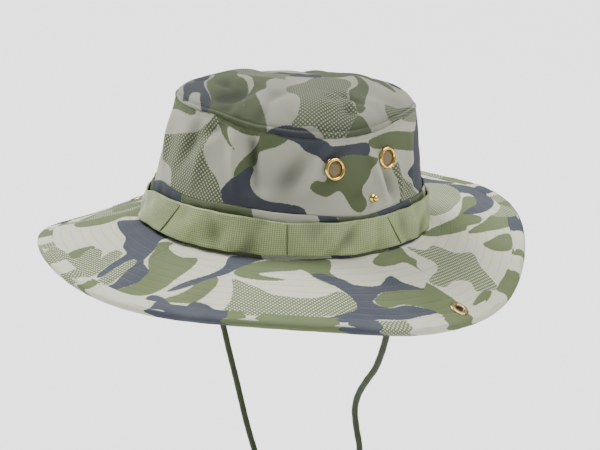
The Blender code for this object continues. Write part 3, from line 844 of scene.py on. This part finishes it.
# Dents in the crown's top: angle, run from the seam, radius, depth.
TOP_DENTS = (
    (-88, 24, 12, -7.0), (-80, 7, 6, -2.5), (-100, 40, 10, 3.0), (-100, 10, 9, 1.4), (-60, 22, 9, 2.6),
    (-62, 44, 9, -1.8), (-36, 24, 16, 2.0), (-14, 18, 5, -3.0), (-16, 32, 6, -2.6), (-25, 24, 7, 1.4),
    (0, 20, 8, 2.0), (18, 14, 12, -1.8), (60, 24, 18, 1.5),
    (120, 20, 16, -2.8), (180, 26, 18, 1.6), (-145, 20, 12, -2.0),
)


# Creases in the top: angle, run from the seam, turn from the spoke, half length, half width, depth.
TOP_CREASES = (
    (-62, 20, 0, 18, 4.5, -3.2), (-75, 20, 0, 18, 5.0, 2.4), (-112, 34, 90, 14, 4.0, -3.5),
    (-112, 44, 90, 16, 5.0, 2.0),
    (-5, 30, 20, 20, 4.0, -3.0), (-13, 30, 15, 20, 5.0, 2.2), (-27, 18, -15, 18, 5.0, -1.6),
    (-48, 14, 30, 14, 4.0, -1.4),
    (70, 26, 10, 20, 6.0, -2.4), (120, 30, -20, 22, 6.0, 2.2), (160, 22, 10, 18, 5.0, -2.6),
    (-150, 30, 0, 18, 6.0, 2.0),
)


def top_relief(angle, run):
    """How far the soft top stands in or out."""
    reach = TOP_RUN[-1] - run
    x, y = reach * np.cos(angle), reach * np.sin(angle)
    relief = 0.5 * np.sin(x / 11 + 1) * np.sin(y / 13) + 0.3 * np.sin(x / 5 + y / 9)
    for at, level, radius, depth in TOP_DENTS:
        far = TOP_RUN[-1] - level
        cx, cy = far * math.cos(math.radians(at)), far * math.sin(math.radians(at))
        relief = relief + depth * np.exp(-((x - cx) ** 2 + (y - cy) ** 2) / radius**2)
    for at, level, turn, length, width, depth in TOP_CREASES:
        far, spoke = TOP_RUN[-1] - level, math.radians(at)
        away_x, away_y = x - far * math.cos(spoke), y - far * math.sin(spoke)
        relief = relief + depth * crease(away_x, away_y, spoke + math.radians(turn), length, width)
    pucker = 0.22 * np.sin(angle * 70 + 1.5) * np.exp(-(run / 3.0) ** 2)
    welt = 0.9 * np.exp(-((run - 1.6) / 1.4) ** 2) - 0.5 * np.exp(-((run - 3.6) / 0.7) ** 2)
    return (relief * np.clip(run / 6, 0, 1)) + pucker + welt


def build_top(material):
    """The crown's top panel with its dents and its stitched seam edge."""
    columns, rows = 360, 64
    angle = all_round(columns)
    share = np.linspace(0, 1, rows)
    run = TOP_RUN[-1] * (0.55 * share + 0.45 * share**2) * 0.9999
    across, inward = np.meshgrid(angle, run)
    points = crown_top(across, inward)
    steep = np.exp(-inward / 9.0)
    outward = np.stack([np.cos(across) * steep, np.sin(across) * steep, 1.0 - 0.75 * steep], -1)
    relief = top_relief(across, inward)
    points = points + outward * relief[..., None]
    reach = TOP_RUN[-1] - inward

    def flatten(a, r):
        return np.stack([(TOP_RUN[-1] - r) * np.cos(a), (TOP_RUN[-1] - r) * np.sin(a)], -1)

    flat = np.stack([reach * np.cos(across), reach * np.sin(across)], -1)
    piece = grid_piece("crown_top_cloth", points, flat, True, material, 0.8)
    # Painted shade in the top's dents and creases, for the material to darken.
    add_field(piece, "painted_crease_shade", np.clip(-relief / 3.6, 0, 1))
    around = across.ravel()
    paint_shapes(piece, flatten(around, inward.ravel()), np.degrees(around), TOP_PRINT, flatten)
    add_seam_row(piece, inward, across)
    settle(apply_modifiers(piece), "hat", "crown_top")


HALF_LOOP = 25.7
# Where the webbing is tacked down, and how far each row of tacking leans: angles.
TACKS = ((-96.5, 3.8), (-45, -0.5), (1, -3.8), (52, 1.0), (104, -2.0), (155, 2.0), (207, -1.5))


# Folds across the webbing: angle, lean, width, depth.
BAND_FOLDS = (
    (-58, 7, 3.2, -1.5), (-50, 6, 3.0, 0.7), (-74, -6, 4.0, -0.7), (-84, 5, 4.0, 0.8), (-66, 5, 3.0, 0.6),
    (-36, 8, 3.0, -0.8), (-29, 7, 2.5, 0.8), (-22, 9, 2.5, -0.9), (-14, 9, 3.0, 0.8), (-7, 5, 2.5, -0.8),
    (6, -6, 3.0, -1.5), (13, -5, 3.0, 0.6), (24, 6, 4.0, -0.7), (70, 8, 4.0, -1.0), (84, 6, 4.0, 0.8),
    (120, -8, 4.0, -1.0),
    (140, 5, 4.0, 0.8), (172, 8, 4.0, -1.0), (-170, -6, 4.0, 0.8), (-128, 7, 4.0, -0.9),
)


def band_folds(angle, lift):
    """How far the webbing's folds stand in or out."""
    relief = 0.5 * np.sin(angle * 14 - lift * 6) + 0.3 * np.sin(angle * 27 + lift * 4)
    for at, lean, width, depth in BAND_FOLDS:
        turn = degrees_from(angle, at + lean * (lift - 0.5))
        relief = relief + depth * np.exp(-(turn / width) ** 2)
    return relief


def band_flare(angle, lift):
    """How far the webbing's lower edge stands away at the wearer's right temple."""
    return 3.0 * (1 - lift) ** 1.5 * np.clip(-np.cos(angle + math.radians(-50)), 0, 1) ** 2


def loop_bulge(angle, lift):
    """How far the webbing stands off between its tacks, from 0 at a tack to 1."""
    away = [np.abs(degrees_from(angle, tack + lean * (2 * lift - 1))) for tack, lean in TACKS]
    share = np.clip(np.min(away, axis=0) / HALF_LOOP, 0, 1)
    return np.clip(np.sin(share * math.pi / 2), 0, 1) ** 0.55


def back_droop(angle):
    """From 0 to 1 where the band hangs lower, behind the wearer's right temple."""
    return np.exp(-(degrees_from(angle, -145) / 26) ** 4)


def build_webbing(material, thread):
    """The webbing band, tacked down in loops, and its tack stitches."""
    columns = 720
    angle = all_round(columns)
    levels = np.linspace(4.3, 26.3, 20)
    across, up = np.meshgrid(angle, levels)
    lift = (up - levels[0]) / (levels[-1] - levels[0])
    bulge = loop_bulge(across, lift)
    folds = band_folds(across, lift) * bulge
    off = 1.9 + bulge * (0.9 + 1.8 * lift) + band_flare(across, lift)
    droop = back_droop(across)
    sway = 0.8 * np.sin(across * 4 + 0.6) * lift - 1.2 * (1 - bulge) * lift - droop * (2.5 + 5 * lift)
    points = crown_wall(across, up + sway, off + folds)
    piece = grid_piece("webbing_band_woven", points, unrolled(columns, 98, levels), True, material, 1.3)
    # Painted shade in the webbing's inward folds, for the material to darken.
    add_field(piece, "painted_crease_shade", np.clip(-folds / 1.6, 0, 1))
    settle(apply_modifiers(piece), "hat", "webbing_band")
    for index, (tack, lean) in enumerate(TACKS):
        at = np.radians(tack + np.linspace(-lean, lean, 7))
        share = np.linspace(0.03, 0.9, 7)
        line = crown_wall(at, 4.3 + 22 * share, 2.3 + band_flare(at, share))
        stitch = tube(f"webbing_tack_{index}", smooth_line(line, 4), 0.35, thread)
        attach(stitch, "hat")


# How much lower the strip's top edge lies than the CAD model's: (angle, drop).
STRIP_DROP = (
    (-180, 0.5), (-135, 0.5), (-91, 3.0), (-71, 2.4), (-53, 2.6), (-40, 3.9), (-28, 5.8), (-14, 6.2),
    (-1, 4.5),
    (31, 3.5), (80, 2), (180, 0.5),
)


def build_strip(material):
    """The camouflage strip behind the webbing."""
    columns = 480
    angle = all_round(columns)
    levels = np.array([1.6, 2.2, 4.0, 12.0, 22.0, 30.0, 32.6, 33.6])
    off = np.array([0.5, 1.1, 1.2, 1.2, 1.2, 1.4, 1.5, 0.6])
    across, up = np.meshgrid(angle, levels)
    stand = np.meshgrid(angle, off)[1] + 0.25 * np.sin(across * 40)
    lift = (up - levels[0]) / (levels[-1] - levels[0])
    drop = back_droop(across) * 8 + around_the_hat(STRIP_DROP, across)
    points = crown_wall(across, up + 0.5 * np.sin(across * 9) - drop * lift, stand)
    piece = grid_piece("band_backing_cloth", points, unrolled(columns, 98, levels), True, material, 0.6)
    paint_lengths(piece, across + 0.0035 * (up - 34), STRIP_PRINT, 98)
    settle(apply_modifiers(piece), "hat", "band_backing_strip")


def build_sweatband(material):
    """The sweatband inside the crown's foot."""
    columns = 360
    angle = all_round(columns)
    levels = np.array([-2.4, -2.0, 2.0, 10.0, 20.0, 28.0, 30.0])
    off = np.array([-1.6, -1.2, -1.3, -1.5, -1.6, -1.5, -1.3])
    across, up = np.meshgrid(angle, levels)
    stand = np.meshgrid(angle, off)[1] + 0.15 * np.sin(across * 31)
    points = crown_wall(across, up, stand)
    piece = grid_piece("sweatband_cloth", points, unrolled(columns, 94, levels), True, material, 0.9)
    settle(apply_modifiers(piece), "hat", "sweatband")


# ---------------------------------------------------------------- the brim

def brim_sheet(name, half, level, material, fine, thickness, turn=0.0):
    """Half of one brim layer, left or right of the middle, with its print and its rows of stitching."""
    columns, rows = (330, 46) if fine else (120, 12)
    start = -math.pi / 2 if half == "left" else math.pi / 2
    angle = np.linspace(start, start + math.pi, columns)
    share = np.linspace(-0.012, 0.985, rows)
    across, out = np.meshgrid(angle, share)
    ripple = 0.35 * np.sin(across * 17 + out * 5) * out * (1 if fine else 0)
    points = brim(across, out, level + ripple)
    plan = points[..., :2].copy()
    piece = grid_piece(f"{name}_{half}", points, plan, False, material, thickness)

    def flatten(a, s):
        return brim_middle(a, s)[..., :2]

    if fine:
        around = np.radians(turn)
        ahead = np.array([math.cos(around), math.sin(around)])
        spun = plan.reshape(-1, 2) @ np.array([ahead, [-ahead[1], ahead[0]]])
        degrees = np.degrees(np.arctan2(spun[:, 1], spun[:, 0]))
        paint_shapes(piece, spun, degrees, BRIM_PRINT, flatten)
        add_field(piece, "run", out * BRIM_WIDTH)
        add_field(piece, "around", across * 125)
    apply_modifiers(piece)
    bend_at_fold(piece)
    return piece


def bend_at_fold(piece):
    """Bake a brim piece's placement into its mesh."""
    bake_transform(piece)


def build_brim(print_cloth, binding_cloth, stiffener):
    """All the brim's layers, as left and right halves."""
    for half, end in (("left", "front"), ("right", "rear")):
        upper = brim_sheet("brim_upper_cloth", half, 1.5, print_cloth, True, 0.8)
        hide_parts(f"brim_upper_{half}", f"brim_upper_{end}")
        middle = brim_sheet("brim_interlining_sheet", half, 0.4, stiffener, False, 0.8)
        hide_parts(f"brim_interlining_{half}", f"brim_interlining_{end}")
        under = brim_sheet("brim_under_cloth", half, -0.7, print_cloth, True, 0.8, turn=140.0)
        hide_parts(f"brim_under_{half}", f"brim_under_{end}")
        binding = build_binding(half, binding_cloth)
        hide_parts(f"brim_binding_{half}", f"brim_binding_{end}")


def build_binding(half, material):
    """Half of the binding that wraps the brim's edge, rounded and a little uneven."""
    start = -math.pi / 2 if half == "left" else math.pi / 2
    columns = 420
    angle = np.linspace(start, start + math.pi, columns)
    reach = BINDING_WIDTH / BRIM_WIDTH
    profile = np.array([
        (1 - reach, 1.5), (1 - reach - 0.004, 1.8), (1 - reach + 0.004, 2.15), (1 - reach * 0.8, 2.0),
        (1 - reach * 0.6, 2.15), (1 - reach * 0.3, 2.2), (0.985, 2.0), (0.998, 1.4), (1.003, 0.5),
        (1.003, -0.5),
        (0.998, -1.4), (0.985, -2.0), (1 - reach * 0.3, -2.2), (1 - reach * 0.8, -2.0),
        (1 - reach + 0.004, -2.15), (1 - reach - 0.004, -1.8), (1 - reach, -1.5),
    ])
    across, out = np.meshgrid(angle, profile[:, 0])
    above = np.meshgrid(angle, profile[:, 1])[1]
    uneven = 0.004 * np.sin(across * 13) + 0.003 * np.sin(across * 29 + 1)
    points = brim(across, out + uneven * (out < 0.9), above * (1 + 0.06 * np.sin(across * 57)))
    flat = np.stack([across * 158, np.meshgrid(angle, np.linspace(0, 30, len(profile)))[1]], -1)
    piece = grid_piece(f"brim_binding_cloth_{half}", points, flat, False, material, 0.5)
    paint_lengths(piece, across + np.radians(1.5) * np.sin(above * 1.4), BINDING_PRINT, 158)
    apply_modifiers(piece)
    bend_at_fold(piece)
    return piece


# ---------------------------------------------------------------- metal trimmings

def turned(name, outline, place, material, sides=40):
    """A turned piece: outline holds (radius, height) in millimetres."""
    line = np.array(outline, float)
    mesh_data = bmesh.new()
    rows = []
    for radius, height in line:
        if radius == 0:
            rows.append([mesh_data.verts.new((0, 0, height * MM))])
            continue
        turn = [math.tau * step / sides for step in range(sides)]
        spots = [(radius * MM * math.cos(a), radius * MM * math.sin(a), height * MM) for a in turn]
        rows.append([mesh_data.verts.new(spot) for spot in spots])
    pairs = list(zip(rows, rows[1:]))
    if len(rows[0]) > 1:
        pairs.append((rows[-1], rows[0]))
    for lower, upper in pairs:
        for i in range(sides):
            j = (i + 1) % sides
            corners = [row[k % len(row)] for row, k in ((lower, i), (lower, j), (upper, j), (upper, i))]
            mesh_data.faces.new(list(dict.fromkeys(corners)))
    layer = mesh_data.loops.layers.uv.new("Cloth")
    for face in mesh_data.faces:
        face.smooth = True
        for loop in face.loops:
            loop[layer].uv = loop.vert.co.xy / MM / 100
    bmesh.ops.recalc_face_normals(mesh_data, faces=mesh_data.faces)
    mesh = bpy.data.meshes.new(name)
    mesh_data.to_mesh(mesh)
    mesh_data.free()
    mesh.materials.append(material)
    piece = bpy.data.objects.new(name, mesh)
    bpy.context.scene.collection.objects.link(piece)
    piece.matrix_world = place
    return piece


def place_at(point, outward):
    """A placement whose Z axis points outward, from millimetres."""
    facing = Vector(outward).to_track_quat("Z", "Y").to_matrix().to_4x4()
    return Matrix.Translation(Vector(point) * MM) @ facing


def crown_place(degrees, height, facing=None):
    """The placement on the crown's outer face, turned to face along another angle if one is given."""
    a = np.array(math.radians(degrees))
    b = a if facing is None else np.array(math.radians(facing))
    around = crown_wall(b + 0.01, height) - crown_wall(b - 0.01, height)
    upward = crown_wall(b, height + 1.0) - crown_wall(b, height - 1.0)
    return place_at(crown_wall(a, height), np.cross(around, upward))


def build_trimmings(brass, antique, dark, gauze):
    """Eyelets with their washers and gauze, and the snaps' four parts on each side."""
    eyelet = (
        (4.9, -2.9), (4.9, 0.4), (5.05, 1.2), (5.5, 1.8), (6.1, 2.0), (6.8, 1.6), (7.2, 0.9), (7.2, 0.2),
        (6.6, 0.0), (5.2, 0.1), (5.2, -2.5), (6.2, -2.6), (6.2, -2.9),
    )
    washer = ((5.5, -1.5), (6.8, -1.5), (6.9, -1.8), (6.7, -2.1), (5.5, -2.1))
    screen = ((0, 0.9), (1.6, 0.85), (3.4, 0.7), (4.95, 0.35), (4.95, -0.6), (0, -0.6))
    stud = ((0, 4.4), (0.8, 4.3), (1.6, 3.9), (2.0, 3.2), (1.9, 2.5), (1.5, 1.9), (1.6, 1.4), (2.2, 1.25),
            (2.6, 0.9), (2.8, 0.5), (2.7, 0.1), (1.3, 0.1), (1.3, -1.5), (0, -1.5))
    stud_cap = ((0, -1.8), (4.8, -1.8), (5.1, -2.1), (4.6, -2.6), (2.5, -2.9), (0, -3.0))
    socket = ((2.6, 1.7), (6.3, 1.7), (6.6, 2.1), (6.3, 2.7), (5.4, 3.2), (4.2, 3.35), (3.2, 3.1), (2.7, 2.5))
    socket_cap = (
        (0, 2.2), (2.5, 2.1), (2.5, 1.6), (1.4, 1.4), (1.4, -1.6), (5.6, -1.8), (5.8, -2.2), (5.2, -2.9),
        (3.0, -3.3), (0, -3.4),
    )
    for side_name, spot, at, level, facing in eyelet_places():
        place = crown_place(at, level, facing)
        tag = f"{side_name}_{spot}"
        for kind, node, outline, material, slot in (
            ("ring", "eyelet", eyelet, brass, "brass"), ("back", "eyelet_washer", washer, brass, "brass"),
            ("screen", "eyelet_gauze", screen, gauze, "gauze"),
        ):
            settle(turned(f"eyelet_{kind}_{tag}", outline, place, material), "hat", f"{node}_{tag}")
    for side_name, centre in (("left", SIDE_ANGLE), ("right", 180.0 - SIDE_ANGLE)):
        crown, flap = crown_place(centre, STUD_HEIGHT), socket_place(side_name)
        for kind, node, outline, material, place, body in (
            ("stud", "snap_stud", stud, brass, crown, "hat"),
            ("stud_back", "snap_stud_cap", stud_cap, antique, crown, "hat"),
            ("socket", "snap_socket", socket, antique, flap, f"brim_{side_name}"),
            ("socket_back", "snap_socket_cap", socket_cap, dark, flap, f"brim_{side_name}"),
        ):
            piece = turned(f"{kind}_{side_name}", outline, place, material)
            settle(piece, body, f"{node}_{side_name}")


def settle(piece, body, node):
    """Ride on a body and stand for a node."""
    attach(piece, body)
    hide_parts(node)


def socket_place(side_name):
    """The placement of a snap socket on the brim's middle surface."""
    angle = np.array(0.0 if side_name == "left" else math.pi)
    width = np.linalg.norm(brim_middle(angle, 1.0) - brim_middle(angle, 0.0))
    return place_at(brim_middle(angle, 1.0 - (SOCKET_INSET - 4.0) / width), brim_up(angle))


# ---------------------------------------------------------------- the chin cord

def tube(name, path, radius, material, sides=14, ribs=0.0):
    """A tube along a path in millimetres, with rounded ends."""
    path = np.asarray(path, float)
    tangent = np.gradient(path, axis=0)
    tangent /= np.linalg.norm(tangent, axis=1, keepdims=True)
    hint = np.array([0.0, 1.0, 0.0]) if abs(tangent[:, 1]).max() < 0.9 else np.array([0.3, 0.1, 1.0])
    side = np.cross(tangent, hint)
    side /= np.linalg.norm(side, axis=1, keepdims=True)
    other = np.cross(tangent, side)
    run = np.concatenate([[0], np.cumsum(np.linalg.norm(np.diff(path, axis=0), axis=1))])
    turn = np.linspace(0, math.tau, sides, endpoint=False)
    round_twice, strand = 2 * turn[None, :], run[:, None] * 1.6
    swell = 1 + ribs * np.cos(round_twice + strand) * np.cos(round_twice - strand)
    close = np.ones(len(path))
    close[[0, -1]] = 0.55
    reach = radius * swell * close[:, None]
    points = (
        path[:, None] + side[:, None] * (np.cos(turn)[None, :, None] * reach[..., None])
        + other[:, None] * (np.sin(turn)[None, :, None] * reach[..., None])
    )
    flat = np.stack(np.meshgrid(np.linspace(0, math.tau * radius, sides + 1), run), -1)
    piece = grid_piece(name, points, flat, True, material)
    cap_ends(piece, sides)
    return piece


def cap_ends(piece, sides):
    """Close a tube's two open ends."""
    mesh_data = bmesh.new()
    mesh_data.from_mesh(piece.data)
    open_edges = [edge for edge in mesh_data.edges if edge.is_boundary]
    bmesh.ops.holes_fill(mesh_data, edges=open_edges, sides=sides + 1)
    bmesh.ops.recalc_face_normals(mesh_data, faces=mesh_data.faces)
    mesh_data.to_mesh(piece.data)
    mesh_data.free()


def even_path(points, step=1.6):
    """The cord's route, evenly spaced, in the plane y = 0."""
    line = smooth_line([(x, 0, z) for x, z in points], 20)
    run = np.concatenate([[0], np.cumsum(np.linalg.norm(np.diff(line, axis=0), axis=1))])
    spots = np.linspace(0, run[-1], int(run[-1] / step))
    return np.stack([np.interp(spots, run, line[:, i]) for i in range(3)], -1)


def build_cords(cord_cloth, plastic):
    """Two braided strands, the slider that they run through and the knot that ties them."""
    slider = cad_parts["cord_slider"]
    slider.data.materials.clear()
    slider.data.materials.append(plastic)
    knot = build_knot(cord_cloth)
    for side_name, route in (("right", CORD_RIGHT), ("left", CORD_LEFT)):
        path = even_path(route)
        strand = tube(f"chin_cord_{side_name}_braid", path, CORD_DIAMETER / 2, cord_cloth, ribs=0.05)
        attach(strand, "hat")
        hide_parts(f"chin_cord_{side_name}")


def build_knot(material):
    """The knot: turns of cord wrapped over the strands' ends."""
    low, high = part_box("cord_knot")
    centre = (low + high) / 2 / MM
    turn = np.linspace(0, math.tau * 2.6, 90)
    rise = np.linspace(4.0, -4.0, 90)
    swell = 4.6 * np.sqrt(1 - (rise / 8.5) ** 2)
    path = np.stack([centre.x + swell * np.cos(turn), centre.y + swell * np.sin(turn), centre.z + rise], -1)
    wraps = tube("knot_wraps", path, 2.1, material, ribs=0.05)
    outline = (
        (0, 7.6), (3.4, 6.6), (4.5, 3.4), (4.4, 1.0), (4.2, -3.0), (2.6, -5.6), (0, -6.2),
    )
    core = turned("knot_core", outline, Matrix.Translation(centre * MM), material, sides=24)
    for piece in (wraps, core):
        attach(piece, "hat")
    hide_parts("cord_knot")
    return wraps


# ---------------------------------------------------------------- all together

def main():
    """Build the hat's looks."""
    add_camera()
    add_studio()
    brass = metal("polished_brass", BRASS_GOLD, BRASS_DARK, 0.24)
    antique = metal("antique_brass", ANTIQUE_LIGHT, ANTIQUE_DARK, 0.35)
    cord_cloth = cord_material()
    build_cords(cord_cloth, plastic_material())
    print_cloth = camouflage("camouflage_print")
    brim_cloth = camouflage("camouflage_print_brim", net_turn=-4, stitched=True)
    build_wall(camouflage("camouflage_print_wall", stitched=True, shade=0.7))
    build_top(camouflage("camouflage_print_top", net_turn=-4, stitched=True, shade=0.42))
    build_strip(camouflage("camouflage_shaded", shade=0.6))
    build_webbing(webbing_material(), plain_cloth("thread", linear(84, 95, 56)))
    build_sweatband(plain_cloth("lining_cloth", LINING_GREEN))
    build_brim(brim_cloth, print_cloth, plain_cloth("interlining", linear(190, 190, 180)))
    # Brass for the snap socket's back cap, painted dark as shade so that the hole through the socket reads
    # dark.
    dark = metal("hole_shade_brass", linear(66, 52, 36), linear(30, 25, 20), 0.5)
    build_trimmings(brass, antique, dark, gauze_material())


main()
